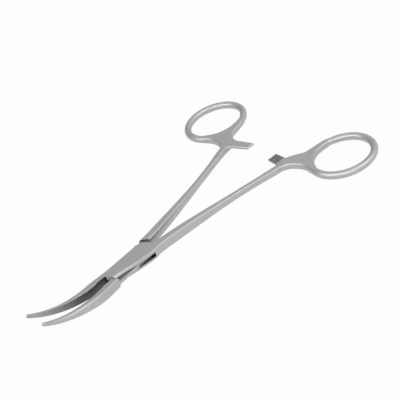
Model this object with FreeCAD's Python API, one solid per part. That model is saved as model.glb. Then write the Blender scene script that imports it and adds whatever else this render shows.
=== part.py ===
"""Curved hemostat forceps with a box lock.

Three pieces: the female half, whose lock is slotted, the male half, whose tongue passes through that
slot, and the lock pin. Lengths are millimetres. Each half is drawn with the jaws shut: +X runs from the
pivot to the finger rings, -X to the jaw tips, +Z is up, and the jaws curve upwards. The female half has
its jaw on +Y and its handle on -Y, and the male half the other way round. At the end both halves are
turned about the pivot to the half-open pose, and raised so that the lock lies on Z = 0.
"""
import FreeCAD, Part
import math
import os

# Overall pose
HALF_OPENING = 4.6          # turn of each half from shut to the pose that is kept, in degrees

# Box lock
LOCK_THICKNESS = 3.8
LOCK_FRONT_WIDTH = 5.4      # where the lock runs into the jaws
LOCK_REAR_WIDTH = 7.3       # where the lock runs into the shanks
LOCK_WIDENS_TO_X = 7.0      # where it reaches its rear width
FRONT_SEAM_X = 9.4          # where the front seam crosses the middle line, in front of the pivot
REAR_SEAM_X = 11.2          # where the rear seam crosses it, behind the pivot
SEAM_ANGLE = 54.0           # of the seams to the middle line, in degrees
SEAM_GAP = 0.12             # between a shoulder and the end of a plate, jaws shut
SLOT_HEIGHT = 1.6
SLOT_RADIUS = 9.5           # of the slot's two end walls, about the pivot
LOCK_SECTIONS = 6
TONGUE_CLEARANCE = 0.05     # above and below the tongue
TONGUE_END_CLEARANCE = 0.15
EDGE_ROUND = 0.95           # of the long edges of the lock, shanks and handles

# Lock pin, ground flush with both plates
PIN_DIAMETER = 2.4
PIN_HEAD_DIAMETER = 3.0
PIN_HEAD_DEPTH = 0.3
PIN_CLEARANCE = 0.05        # radial, in the tongue

# Jaws
JAW_ROOT_X = 11.0           # where the jaw leaves the lock
JAW_STRAIGHT_END_X = 13.15  # where the straight root turns into the upward curve
JAW_CURVE_RADIUS = 43.4
JAW_CURVE_ANGLE = 36.0      # in degrees
JAW_TIP_DEPTH = 1.25
JAW_TIP_WIDTH = 0.85        # from the gripping face to the back
JAW_TIP_ROUND = 0.45        # length over which the tip is rounded off
JAW_ROUND_SHARE = 0.8       # share of the width and depth that the round back takes
JAW_ROUND_BY = 0.6          # fraction of the curve by which the back has become round
JAW_SECTIONS = 8
JAW_CLEARANCE = 0.08        # between the two gripping faces, jaws shut
SERRATION_START = 3.4       # along the jaw from its root
SERRATION_PITCH = 0.9
SERRATION_DEPTH = 0.28
SERRATION_WIDTH = 0.7
SERRATION_TIP_MARGIN = 0.7  # smooth stretch left at the tip

# Shanks
SHANK_ROOT_X = 15.0
SHANK_SHOULDER_X = 6.0      # where the shank starts inside the lock
SHANK_SHOULDER_STEP = 0.38  # from the side of the lock in to the side of the shank
SHANK_GAP = 0.24            # between the two shanks at their roots, jaws shut
SHANK_WAIST_WIDTH = 2.15    # at the slimmest
SHANK_NECK_WIDTH = 2.6      # in front of the ratchet
SHANK_NECK_BEFORE_RING = 6.3    # from the neck to the ring, along X
SHANK_NECK_INSIDE_RING = 3.7    # from the neck out to the ring, along Y
SHANK_BOW = 0.6             # inward bow of the shank's middle line
SHANK_TAPER_BY = 0.7        # fraction of the shank by which it is at its slimmest
SHANK_SWELL_FROM = 0.84     # fraction from which it widens again towards the neck
SHANK_SECTIONS = 7
HANDLE_THICKNESS = 2.6      # of the slim part of the shank and of the web of the ring

# Finger rings
RING_X = 86.3               # centre of the oval
RING_Y = 22.4
RING_LENGTH = 30.1          # outside, along X
RING_WIDTH = 23.0           # outside, along Y
RING_WIRE = 2.7             # width of the wire, in the plane of the ring
RING_DEPTH = 2.9            # of the wire, up and down
RING_SECTIONS = 36          # sections that the round wire is drawn through
WEB_INNER_FLARE = [(-16.6, -16.1), (-12.4, -15.9), (-9.3, -14.3), (-6.6, -12.5)]    # from the ring's centre
WEB_OUTER_FLARE = [(-17.8, -13.3), (-15.7, -12.1), (-14.3, -10.0), (-13.4, -7.2)]
WEB_START_ANGLE = 206.0     # where the web meets the ring, in degrees about its centre
WEB_END_ANGLE = 262.0
WEB_INSET = 0.8             # of the web's end from the outside of the ring
WEB_SECTIONS = 8

# Ratchet
RATCHET_ROOT_X = 72.8
RATCHET_ROOT_Y = 6.6
RATCHET_STAGGER = 0.6       # by which the male bar sits nearer the ring, and the female bar further from it
RATCHET_LENGTH = 8.6        # from the root to the tip of the bar
RATCHET_SLANT = 6.0         # of the bar from square across, in degrees
RATCHET_ROOT_WIDTH = 4.2
RATCHET_TIP_WIDTH = 3.7
RATCHET_END_CUT = 1.0       # slant of the bar's end
RATCHET_ROUND = 0.4         # of the upper edges of the bar
RATCHET_CLEARANCE = 0.12    # between the crests of the two rows of teeth
RATCHET_BACK_GAP = 0.05     # by which a bar's flat side lies below the top of the handle
TOOTH_COUNT = 4
TOOTH_PITCH = 1.25
TOOTH_DEPTH = 0.45
TOOTH_LAND = 0.15           # flat crest of a tooth
TOOTH_TIP_MARGIN = 0.9      # plain end of the bar, in front of the first tooth

OUT_DIR = "parts"

Vector = FreeCAD.Vector
ORIGIN = Vector(0, 0, 0)
X_AXIS = Vector(1, 0, 0)
Y_AXIS = Vector(0, 1, 0)
Z_AXIS = Vector(0, 0, 1)

# Values that follow from the sizes above
HALF_LOCK = LOCK_THICKNESS / 2
FAR = 10 * LOCK_THICKNESS + RING_X + RING_LENGTH    # safely outside the whole object
SHANK_ROOT_WIDTH = (LOCK_REAR_WIDTH - SHANK_GAP) / 2 - SHANK_SHOULDER_STEP
NECK_X = RING_X - RING_LENGTH / 2 - SHANK_NECK_BEFORE_RING
NECK_Y = RING_Y - RING_WIDTH / 2 - SHANK_NECK_INSIDE_RING
JAW_STRAIGHT = JAW_STRAIGHT_END_X - JAW_ROOT_X
JAW_LENGTH = JAW_STRAIGHT + JAW_CURVE_RADIUS * math.radians(JAW_CURVE_ANGLE)


def polygon_prism(points, bottom, top):
    """Upright solid on a polygon in the plan."""
    corners = [Vector(x, y, bottom) for x, y in points + points[:1]]
    return Part.Face(Part.makePolygon(corners)).extrude(Vector(0, 0, top - bottom))


def mirrored(shape):
    """The shape on the other side of the middle line."""
    return shape.mirror(ORIGIN, Y_AXIS)


def turned_over(shape):
    """The shape after half a turn about the middle line."""
    copy = shape.copy()
    copy.rotate(ORIGIN, X_AXIS, 180)
    return copy


def blend(start, end, fraction):
    """Value that lies at the fraction of the way from start to end."""
    return start + (end - start) * fraction


def ease(fraction):
    """Fraction with a soft start and end, kept between 0 and 1."""
    fraction = min(max(fraction, 0.0), 1.0)
    return fraction * fraction * (3 - 2 * fraction)


def quarter(start, apex, end):
    """Quarter of an ellipse from start to end, whose end tangents meet in the apex."""
    curve = Part.BezierCurve()
    curve.setPoles([start, apex, end])
    curve.setWeight(2, math.sqrt(0.5))
    return curve.toShape()


def rounded_section(inner, outer, thickness):
    """Upright section from the inner to the outer plan point, with all four corners rounded."""
    start = Vector(*inner, 0)
    across = Vector(*outer, 0) - start
    width = across.Length
    across.normalize()
    half = thickness / 2
    r = EDGE_ROUND

    def at(along, height):
        return start + across * along + Z_AXIS * height

    return Part.Wire([
        Part.makeLine(at(r, half), at(width - r, half)),
        quarter(at(width - r, half), at(width, half), at(width, half - r)),
        Part.makeLine(at(width, half - r), at(width, r - half)),
        quarter(at(width, r - half), at(width, -half), at(width - r, -half)),
        Part.makeLine(at(width - r, -half), at(r, -half)),
        quarter(at(r, -half), at(0, -half), at(0, r - half)),
        Part.makeLine(at(0, r - half), at(0, half - r)),
        quarter(at(0, half - r), at(0, half), at(r, half)),
    ])


def lock_plate():
    """The whole lock as one plate, from the jaws' roots to the shanks' roots."""
    places = [-JAW_STRAIGHT_END_X]
    places += [blend(-FRONT_SEAM_X, LOCK_WIDENS_TO_X, i / LOCK_SECTIONS) for i in range(LOCK_SECTIONS + 1)]
    places.append(REAR_SEAM_X)
    sections = []
    for x in places:
        widening = ease((x + FRONT_SEAM_X) / (LOCK_WIDENS_TO_X + FRONT_SEAM_X))
        y = blend(LOCK_FRONT_WIDTH, LOCK_REAR_WIDTH, widening) / 2
        sections.append(rounded_section((x, -y), (x, y), LOCK_THICKNESS))
    return Part.makeLoft(sections, True, True)


def ring_point(angle):
    """Point within the ring's wire, close to its outside, at an angle in degrees about its centre."""
    turn = math.radians(angle)
    along = RING_LENGTH / 2 - WEB_INSET
    across = RING_WIDTH / 2 - WEB_INSET
    return RING_X + along * math.cos(turn), RING_Y + across * math.sin(turn)


def shank_stations():
    """Inner point, outer point and thickness along the shank, from the lock to the neck."""
    root_y = (SHANK_GAP + SHANK_ROOT_WIDTH) / 2
    stations = []
    for i in range(SHANK_SECTIONS + 1):
        x = blend(SHANK_SHOULDER_X, NECK_X, i / SHANK_SECTIONS)
        along = max(0.0, (x - SHANK_ROOT_X) / (NECK_X - SHANK_ROOT_X))
        taper = ease(1 - along / SHANK_TAPER_BY)
        swell = ease((along - SHANK_SWELL_FROM) / (1 - SHANK_SWELL_FROM))
        width = SHANK_WAIST_WIDTH
        width += (SHANK_ROOT_WIDTH - SHANK_WAIST_WIDTH) * taper
        width += (SHANK_NECK_WIDTH - SHANK_WAIST_WIDTH) * swell
        y = blend(root_y, NECK_Y, along) - 4 * SHANK_BOW * along * (1 - along)
        thickness = blend(HANDLE_THICKNESS, LOCK_THICKNESS, taper)
        stations.append(((x, y - width / 2), (x, y + width / 2), thickness))
    return stations


def flare(points, before):
    """Points on a smooth curve through the given ones, which goes on from the point before the first."""
    places = [Vector(x, y, 0) for x, y in points]
    curve = Part.BSplineCurve()
    curve.interpolate(
        Points=places,
        InitialTangent=places[0] - Vector(*before, 0),
        FinalTangent=places[-1] - places[-2],
    )
    start, end = curve.FirstParameter, curve.LastParameter
    sampled = [curve.value(blend(start, end, i / WEB_SECTIONS)) for i in range(1, WEB_SECTIONS + 1)]
    return [(place.x, place.y) for place in sampled]


def web_stations(neck):
    """Inner point, outer point and thickness along the web, from the last two stations of the shank on."""
    sides = []
    flares = [(WEB_INNER_FLARE, WEB_END_ANGLE), (WEB_OUTER_FLARE, WEB_START_ANGLE)]
    for side, (offsets, angle) in enumerate(flares):
        points = [neck[1][side]]
        points += [(RING_X + x, RING_Y + y) for x, y in offsets]
        points.append(ring_point(angle))
        sides.append(flare(points, neck[0][side]))
    return [(start, end, HANDLE_THICKNESS) for start, end in zip(*sides)]


def finger_ring():
    """Round wire bent to an oval."""
    along = (RING_LENGTH - RING_WIRE) / 2
    across = (RING_WIDTH - RING_WIRE) / 2
    centre = Vector(RING_X, RING_Y, 0)
    up = Z_AXIS * RING_DEPTH / 2
    sections = []
    for i in range(RING_SECTIONS):
        turn = 2 * math.pi * i / RING_SECTIONS
        place = centre + Vector(along * math.cos(turn), across * math.sin(turn), 0)
        out = Vector(across * math.cos(turn), along * math.sin(turn), 0)
        out = out.normalize() * RING_WIRE / 2
        sections.append(Part.Wire([
            quarter(place + out, place + out + up, place + up),
            quarter(place + up, place - out + up, place - out),
            quarter(place - out, place - out - up, place - up),
            quarter(place - up, place + out - up, place + out),
        ]))
    return Part.makeLoft(sections, True, True, True)


def handle():
    """Shank, web and finger ring on +Y."""
    stations = shank_stations()
    stations += web_stations(stations[-2:])
    arm = Part.makeLoft([rounded_section(*station) for station in stations], True, True)
    return arm.fuse(finger_ring())


def tooth_profile():
    """Side view of a ratchet bar on +Y, with its teeth below."""
    crest = RATCHET_CLEARANCE / 2
    root = crest + TOOTH_DEPTH
    tip = RATCHET_ROOT_Y - RATCHET_LENGTH
    top = HANDLE_THICKNESS / 2 - RATCHET_BACK_GAP
    y = tip + TOOTH_TIP_MARGIN
    points = [(FAR, top), (tip, top), (tip, root), (y, root)]
    for _ in range(TOOTH_COUNT):
        points += [(y + TOOTH_PITCH - TOOTH_LAND, crest), (y + TOOTH_PITCH, crest), (y + TOOTH_PITCH, root)]
        y += TOOTH_PITCH
    return points[:-1] + [(FAR, crest)]


def ratchet_bar(root_x):
    """Toothed bar that reaches from the shank on +Y to the middle, in the upper half of the thickness."""
    slant = math.tan(math.radians(RATCHET_SLANT))
    root = (root_x, RATCHET_ROOT_Y + SHANK_WAIST_WIDTH / 2)
    tip = (root_x + RATCHET_LENGTH * slant, RATCHET_ROOT_Y - RATCHET_LENGTH)
    wide, narrow = RATCHET_ROOT_WIDTH / 2, RATCHET_TIP_WIDTH / 2
    plan = [
        (root[0] - wide, root[1]),
        (tip[0] - narrow, tip[1] + RATCHET_END_CUT),
        (tip[0] + narrow, tip[1]),
        (root[0] + wide, root[1]),
    ]
    top = HANDLE_THICKNESS / 2 - RATCHET_BACK_GAP
    block = polygon_prism(plan, 0, top)
    upper = [
        edge for edge in block.Edges
        if edge.CenterOfMass.z > top - 0.01 and edge.CenterOfMass.y < root[1] - 0.1
    ]
    block = block.makeFillet(RATCHET_ROUND, upper)
    profile = [Vector(-FAR, y, z) for y, z in tooth_profile()]
    teeth = Part.Face(Part.makePolygon(profile + profile[:1])).extrude(Vector(3 * FAR, 0, 0))
    return block.common(teeth)


def jaw_place(distance):
    """Position on the jaw's curved middle line and the direction across it, at a distance from the root."""
    turn = max(0.0, distance - JAW_STRAIGHT) / JAW_CURVE_RADIUS
    x = -JAW_ROOT_X - min(distance, JAW_STRAIGHT) - JAW_CURVE_RADIUS * math.sin(turn)
    z = JAW_CURVE_RADIUS * (1 - math.cos(turn))
    return Vector(x, 0, z), Vector(math.sin(turn), 0, math.cos(turn))


def jaw_section(distance, scale=1.0):
    """D-shaped section of the jaw on +Y, with its flat gripping face towards the other jaw."""
    place, up = jaw_place(distance)
    fraction = max(0.0, distance - JAW_STRAIGHT) / (JAW_LENGTH - JAW_STRAIGHT)
    half = blend(LOCK_THICKNESS, JAW_TIP_DEPTH, fraction) / 2 * scale
    width = blend(LOCK_FRONT_WIDTH / 2 - JAW_CLEARANCE / 2, JAW_TIP_WIDTH, fraction) * scale
    rounding = min(1.0, fraction / JAW_ROUND_BY)
    side = width - blend(EDGE_ROUND, JAW_ROUND_SHARE * width, rounding)
    rise = half - blend(EDGE_ROUND, JAW_ROUND_SHARE * half, rounding)

    def at(y, height):
        return place + Y_AXIS * (JAW_CLEARANCE / 2 + y) + up * height

    return Part.Wire([
        Part.makeLine(at(0, -half), at(0, half)),
        Part.makeLine(at(0, half), at(side, half)),
        quarter(at(side, half), at(width, half), at(width, rise)),
        Part.makeLine(at(width, rise), at(width, -rise)),
        quarter(at(width, -rise), at(width, -half), at(side, -half)),
        Part.makeLine(at(side, -half), at(0, -half)),
    ])


def serrations(offset):
    """Row of V-shaped grooves across the gripping face at the middle, shifted along the jaw."""
    grooves = []
    distance = SERRATION_START + offset
    while distance < JAW_LENGTH - SERRATION_TIP_MARGIN:
        place, up = jaw_place(distance)
        along = Y_AXIS.cross(up)
        face = place + Y_AXIS * JAW_CLEARANCE / 2 - up * LOCK_THICKNESS
        mouth = along * SERRATION_WIDTH / 2
        sides = Y_AXIS * SERRATION_DEPTH
        corners = [face - mouth, face + sides, face + mouth, face - sides]
        grooves.append(Part.Face(Part.makePolygon(corners + corners[:1])).extrude(up * 2 * LOCK_THICKNESS))
        distance += SERRATION_PITCH
    return Part.makeCompound(grooves)


def jaw(serration_offset):
    """Curved jaw on +Y with its serrated gripping face."""
    body_end = JAW_LENGTH - JAW_TIP_ROUND
    straight = Part.makeLoft([jaw_section(0), jaw_section(JAW_STRAIGHT)], True)
    distances = [blend(JAW_STRAIGHT, body_end, i / JAW_SECTIONS) for i in range(JAW_SECTIONS + 1)]
    curved = Part.makeLoft([jaw_section(distance) for distance in distances], True, True)
    tip = Part.makeLoft(
        [
            jaw_section(body_end),
            jaw_section(body_end + 0.55 * JAW_TIP_ROUND, 0.9),
            jaw_section(JAW_LENGTH, 0.6),
        ],
        True,
    )
    whole = straight.fuse([curved, tip])
    return whole.cut(serrations(serration_offset))


def lock_zone(radius, margin):
    """Plan area about the pivot in which slot and tongue lie, for a male half with its handle on +Y."""
    disc = Part.makeCylinder(radius, LOCK_THICKNESS, Vector(0, 0, -HALF_LOCK))
    front = [(margin, margin), (-FAR, margin), (-FAR, -FAR), (margin, -FAR)]
    rear = polygon_prism(front, -HALF_LOCK, HALF_LOCK)
    rear.rotate(ORIGIN, Z_AXIS, 180)
    return disc.fuse([polygon_prism(front, -HALF_LOCK, HALF_LOCK), rear])


def slab(height):
    """Everything between two planes that lie half the height above and below the middle."""
    return Part.makeBox(2 * FAR, 2 * FAR, height, Vector(-FAR, -FAR, -height / 2))


def beyond_seam(seam_x, gap, edge_y):
    """Area in front of a slanted seam, kept a gap away from it, and on -Y of the given edge."""
    angle = math.radians(SEAM_ANGLE)
    start = -seam_x - gap / math.sin(angle)
    side_y = -FAR
    points = [(start - y / math.tan(angle), y) for y in (edge_y, side_y)]
    points += [(-FAR, side_y), (-FAR, edge_y)]
    return polygon_prism(points, -HALF_LOCK, HALF_LOCK)


def behind_seam(seam_x, gap, edge_y):
    """The same area behind the pivot, on +Y."""
    area = beyond_seam(seam_x, gap, edge_y)
    area.rotate(ORIGIN, Z_AXIS, 180)
    return area


def pin_profile(clearance):
    """Revolved pin with conical heads, its shank thicker by the clearance."""
    shank = PIN_DIAMETER / 2 + clearance
    head = PIN_HEAD_DIAMETER / 2 + clearance
    points = [(0, -HALF_LOCK), (head, -HALF_LOCK), (shank, PIN_HEAD_DEPTH - HALF_LOCK)]
    points += [(shank, HALF_LOCK - PIN_HEAD_DEPTH), (head, HALF_LOCK), (0, HALF_LOCK)]
    corners = [Vector(r, 0, z) for r, z in points + points[:1]]
    return Part.Face(Part.makePolygon(corners)).revolve(ORIGIN, Z_AXIS, 360)


def male_half():
    """Half with the tongue, its jaw on -Y and its handle on +Y."""
    plate = lock_plate()
    zone = lock_zone(SLOT_RADIUS - TONGUE_END_CLEARANCE, 0)
    tongue = plate.common(zone).common(slab(SLOT_HEIGHT - 2 * TONGUE_CLEARANCE))
    front = plate.common(beyond_seam(FRONT_SEAM_X, SEAM_GAP, -JAW_CLEARANCE / 2))
    rear = handle().common(behind_seam(REAR_SEAM_X, SEAM_GAP, LOCK_REAR_WIDTH))
    bar = ratchet_bar(RATCHET_ROOT_X + RATCHET_STAGGER)
    half = tongue.fuse([front, rear, mirrored(jaw(SERRATION_PITCH / 2)), bar])
    return half.cut(pin_profile(PIN_CLEARANCE))


def female_half():
    """Half with the slot, its jaw on +Y and its handle on -Y."""
    bar = turned_over(ratchet_bar(RATCHET_ROOT_X - RATCHET_STAGGER))
    half = lock_plate().fuse([mirrored(handle()), jaw(0), bar])
    half = half.cut(lock_zone(SLOT_RADIUS, SHANK_GAP / 2).common(slab(SLOT_HEIGHT)))
    half = half.cut(beyond_seam(FRONT_SEAM_X, 0, JAW_CLEARANCE / 2))
    half = half.cut(behind_seam(REAR_SEAM_X, 0, SHANK_GAP / 2))
    return half.cut(pin_profile(0))


def posed(shape, turn):
    """The shape turned about the pivot, in degrees, and raised so that the lock lies on Z = 0."""
    copy = shape.copy()
    copy.rotate(ORIGIN, Z_AXIS, turn)
    copy.translate(Vector(0, 0, HALF_LOCK))
    return copy


def main():
    """Write one STEP file for each piece."""
    pieces = {
        "female_half": posed(female_half(), -HALF_OPENING),
        "male_half": posed(male_half(), HALF_OPENING),
        "lock_pin": posed(pin_profile(0), 0),
    }
    os.makedirs(OUT_DIR, exist_ok=True)
    for name, shape in pieces.items():
        print(name, shape.ShapeType, shape.isValid(), len(shape.Solids), round(shape.Volume, 1))
        shape.exportStep(os.path.join(OUT_DIR, name + ".step"))


main()
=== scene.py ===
"""Hemostat forceps with a box lock, in satin stainless steel, lying on a white table."""

import logging
import math
from collections.abc import Callable
from dataclasses import dataclass, field
from enum import Enum

import bmesh
import bpy
import numpy as np
import openvdb
from bpy.types import Material, Mesh, Modifier, Node, NodeSocket, NodeTree, Object
from mathutils import Matrix, Vector
from numpy import ndarray


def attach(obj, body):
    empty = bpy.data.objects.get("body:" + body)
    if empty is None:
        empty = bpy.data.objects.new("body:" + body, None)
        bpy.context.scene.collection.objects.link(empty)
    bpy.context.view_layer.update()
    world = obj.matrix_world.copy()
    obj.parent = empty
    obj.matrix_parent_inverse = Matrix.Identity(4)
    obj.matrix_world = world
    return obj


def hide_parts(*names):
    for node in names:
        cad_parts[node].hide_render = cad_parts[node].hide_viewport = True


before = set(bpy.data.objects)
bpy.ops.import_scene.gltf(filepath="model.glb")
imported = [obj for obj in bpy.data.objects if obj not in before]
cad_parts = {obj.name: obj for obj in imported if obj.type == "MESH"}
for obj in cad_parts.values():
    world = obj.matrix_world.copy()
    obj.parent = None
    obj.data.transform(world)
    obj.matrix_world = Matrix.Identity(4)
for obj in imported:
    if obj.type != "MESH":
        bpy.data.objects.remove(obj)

MM = 0.001
NET_STEP = 0.2  # Millimetres between the corners of a form's net.
NET_ROUNDS = 2  # How often the corners are moved onto the form.
SLOPE_STEP = 0.005  # Millimetres over which a slope is measured.
LEAST_SLOPE = 0.25  # Least squared slope that a corner is moved by.
LEAST_LEVEL = 0.001  # Keeps a round form's formula off its middle line.
TINY = 1e-9  # Keeps a division away from zero.
OUTSIDE = 5.0  # What a grid holds beyond its edges.
OUTLINE_CHUNK = 20000  # Points that are measured at a time.
LOG = logging.getLogger("forceps")

Colour = tuple[float, float, float]
Spot = tuple[float, float]
Place = tuple[float, float, float]
Points = tuple[ndarray, ndarray, ndarray] | ndarray
Form = Callable[[Points], ndarray]


class Carving(Enum):
    """What a tool does to a piece."""

    CUT = "DIFFERENCE"
    JOIN = "UNION"
    CROP = "INTERSECT"


class Sketch:
    """Adds nodes to a tree, with their inputs set or linked."""

    def __init__(self, tree: NodeTree) -> None:
        """Work in the given tree."""
        self.tree = tree

    def add(self, kind: str, inputs: dict[str | int, object], **settings: str) -> Node:
        """Add a node.

        Args:
            kind: The node's type.
            inputs: Values and sockets for the inputs that are set or linked.
            settings: The node's own settings.

        Returns:
            The node.
        """
        node = self.tree.nodes.new(kind)
        for name, value in settings.items():
            setattr(node, name, value)
        for name, value in inputs.items():
            if isinstance(value, NodeSocket):
                self.tree.links.new(value, node.inputs[name])
            else:
                node.inputs[name].default_value = value
        return node

    def sums(self, operation: str, *values: float | NodeSocket) -> NodeSocket:
        """Add one step of a sum and give its result."""
        return self.add("ShaderNodeMath", dict(enumerate(values)), operation=operation).outputs[0]


def node_material(name: str) -> tuple[Material, Sketch]:
    """Make an empty node material.

    Args:
        name: The material's name.

    Returns:
        The material, and the sketch that adds its nodes.
    """
    material = bpy.data.materials.new(name)
    material.use_nodes = True
    material.node_tree.nodes.clear()
    return material, Sketch(material.node_tree)


@dataclass(frozen=True)
class SatinSteel:
    """Stainless steel with the fine satin grain that surgical makers give it.

    Lengths are in millimetres.
    """

    name: str = "satin_steel"
    light: Colour = (0.62, 0.624, 0.63)
    dark: Colour = (0.55, 0.554, 0.56)
    roughness_low: float = 0.3
    roughness_high: float = 0.36
    patch: float = 9.0
    patch_detail: float = 4.0
    grain: float = 0.35
    grain_detail: float = 3.0
    grain_depth: float = 0.003
    grain_low: float = 0.3
    grain_high: float = 0.7
    relief: float = 0.25

    @staticmethod
    def noise(sketch: Sketch, place: NodeSocket, size: float, detail: float) -> NodeSocket:
        """Give a noise pattern with spots of a size."""
        inputs = {"Scale": 1.0 / (size * MM), "Detail": detail, "Vector": place}
        return sketch.add("ShaderNodeTexNoise", inputs).outputs["Fac"]

    def lightness(self, sketch: Sketch, place: NodeSocket) -> NodeSocket:
        """Say how light the steel is, from 0 to 1: here in slow patches."""
        return self.noise(sketch, place, self.patch, self.patch_detail)

    def make(self) -> Material:
        """Build the node material.

        Returns:
            The steel material.
        """
        material, sketch = node_material(self.name)
        place = sketch.add("ShaderNodeTexCoord", {}).outputs["Object"]
        grain = self.noise(sketch, place, self.grain, self.grain_detail)
        tone = sketch.add("ShaderNodeMix", {
            "A": (*self.dark, 1.0), "B": (*self.light, 1.0),
            "Factor": self.lightness(sketch, place)}, data_type="RGBA")
        gloss = sketch.add("ShaderNodeMapRange", {
            "From Min": self.grain_low, "From Max": self.grain_high,
            "To Min": self.roughness_low, "To Max": self.roughness_high, "Value": grain})
        relief = sketch.add("ShaderNodeBump", {
            "Strength": self.relief, "Distance": self.grain_depth * MM, "Height": grain})
        steel = sketch.add("ShaderNodeBsdfPrincipled", {
            "Metallic": 1.0, "Base Color": tone.outputs["Result"],
            "Roughness": gloss.outputs["Result"], "Normal": relief.outputs["Normal"]})
        sketch.add("ShaderNodeOutputMaterial", {"Surface": steel.outputs["BSDF"]})
        return material


@dataclass(frozen=True)
class ShadedGrippingFace(SatinSteel):
    """Cut steel of the serrations, with painted shade: darkened all over for the shade in its grooves,
    darkest next to the lock where the other jaw shades it, and lighter towards the tip.
    """

    name: str = "gripping_face_painted_shade"
    # Both tones are darker than the steel's own: painted shade of the grooves and of the other jaw.
    light: Colour = (0.5, 0.504, 0.51)
    dark: Colour = (0.17, 0.17, 0.173)
    roughness_low: float = 0.3
    roughness_high: float = 0.4
    # Where the painted shade is darkest, next to the lock, and where it has faded out, towards the tip.
    shade_darkest_at: float = -20.0
    shade_gone_at: float = -36.0

    def lightness(self, sketch: Sketch, place: NodeSocket) -> NodeSocket:
        """Say how light the steel is, from 0 to 1: here painted shade, darkest next to the lock and fading
        out towards the tip.
        """
        along = sketch.add("ShaderNodeSeparateXYZ", {0: place}).outputs["X"]
        return sketch.add("ShaderNodeMapRange", {
            "From Min": self.shade_darkest_at * MM, "From Max": self.shade_gone_at * MM, "Value": along}).outputs["Result"]


@dataclass(frozen=True)
class CutSteelAndShade(SatinSteel):
    """Milled, unpolished steel of the ratchet's teeth; its darker tone is also laid as painted shade on the
    slot's walls and the ledges in the seams, where the lock lies in shade.
    """

    name: str = "cut_teeth_and_slot_shade"
    # The darker tone is milled steel on the teeth and painted shade in the slot and seams.
    light: Colour = (0.4, 0.404, 0.41)
    dark: Colour = (0.2, 0.2, 0.205)
    patch: float = 1.2


@dataclass(frozen=True)
class Looks:
    """The made finishes of a half: its steel, its gripping face with painted shade, and the milled steel of
    the teeth, which also paints shade into the lock's slot and seams.
    """

    steel: Material
    grip: Material
    cut: Material


def between(first: float, last: float | ndarray, share: float | ndarray) -> float | ndarray:
    """Value that lies a share of the way from the first to the last."""
    return first + (last - first) * share


def ease(share: float | ndarray) -> ndarray:
    """Share with a soft start and end, kept between 0 and 1."""
    share = np.clip(share, 0.0, 1.0)
    return share * share * (3 - 2 * share)


def smooth_union(first: ndarray, second: ndarray, reach: float) -> ndarray:
    """Join two forms, given as distances to each, with a fillet of a size."""
    overlap = np.maximum(reach - np.abs(first - second), 0.0) / reach
    return np.minimum(first, second) - overlap * overlap * reach / 4


def soft_crease(first: ndarray, second: ndarray, reach: float) -> ndarray:
    """Keep what lies in both forms, with the crease between them rounded."""
    return -smooth_union(-first, -second, reach)


def flank(out: ndarray, height: ndarray, bulge: float | ndarray, rise: float | ndarray) -> ndarray:
    """Distance to a bulging side wall.

    Args:
        out: Distance outside the plan outline.
        height: Height above the middle plane.
        bulge: How far the wall curves in.
        rise: Height at which the wall would close.

    Returns:
        Distances to the wall.
    """
    across = np.maximum(out + bulge, 0.0) / bulge
    above = np.maximum(np.abs(height) / rise, LEAST_LEVEL)
    level = np.hypot(across, above)
    return (level - 1.0) * level / np.hypot(across / bulge, above / rise)


def forged(out: ndarray, height: ndarray, half: float | ndarray, bulge: float | ndarray,
           rise_share: float, crease: float) -> ndarray:
    """Distance to a forged bar with bulging flanks, and flats half its thickness from the middle."""
    return soft_crease(flank(out, height, bulge, half * rise_share), np.abs(height) - half, crease)


def outline_distance(x: ndarray, y: ndarray, corners: ndarray) -> ndarray:
    """Signed distance in the plan to a closed outline.

    Args:
        x: X of the points.
        y: Y of the points.
        corners: Corners of the outline, one row each.

    Returns:
        Distances, negative inside.
    """
    x, y = np.broadcast_arrays(x, y)
    points = np.stack([x.ravel(), y.ravel()], axis=1)
    step = np.roll(corners, -1, axis=0) - corners
    length = np.maximum((step * step).sum(axis=1), TINY)
    result = np.empty(len(points))
    for first in range(0, len(points), OUTLINE_CHUNK):
        part = points[first:first + OUTLINE_CHUNK]
        dx = part[:, 0, None] - corners[None, :, 0]
        dy = part[:, 1, None] - corners[None, :, 1]
        along = np.clip((dx * step[:, 0] + dy * step[:, 1]) / length, 0.0, 1.0)
        gap = np.hypot(dx - along * step[:, 0], dy - along * step[:, 1]).min(axis=1)
        below = dy < 0
        below_end = dy - step[:, 1] < 0
        side = dx * step[:, 1] - dy * step[:, 0]
        crossing = (below != below_end) & ((side > 0) == (step[:, 1] > 0))
        inside = crossing.sum(axis=1) % 2 == 1
        result[first:first + OUTLINE_CHUNK] = np.where(inside, -gap, gap)
    return result.reshape(x.shape)


def through(points: list[Spot], steps: int) -> list[Spot]:
    """Sample a smooth curve through points, from the second to the last.

    Args:
        points: Points that the curve goes through. The first only gives the direction at the start.
        steps: Samples between neighbouring points.

    Returns:
        Points on the curve.
    """
    rows = np.array(points + [tuple(2 * np.array(points[-1]) - np.array(points[-2]))])
    sampled = []
    for i in range(1, len(rows) - 2):
        before, here, there, after = rows[i - 1:i + 3]
        reach = np.linalg.norm(there - here)
        leave = (there - before) / np.linalg.norm(there - before) * reach
        arrive = (after - here) / np.linalg.norm(after - here) * reach
        for t in np.linspace(0.0, 1.0, steps, endpoint=False):
            place = (2 * t**3 - 3 * t**2 + 1) * here + (t**3 - 2 * t**2 + t) * leave
            place = place + (3 * t**2 - 2 * t**3) * there + (t**3 - t**2) * arrive
            sampled.append(tuple(place))
    return sampled + [points[-1]]


def circle(radius: float, sides: int) -> list[Spot]:
    """Corners of a circle drawn as a polygon."""
    turns = np.linspace(0.0, 2 * math.pi, sides, endpoint=False)
    return [(radius * math.cos(t), radius * math.sin(t)) for t in turns]


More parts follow.
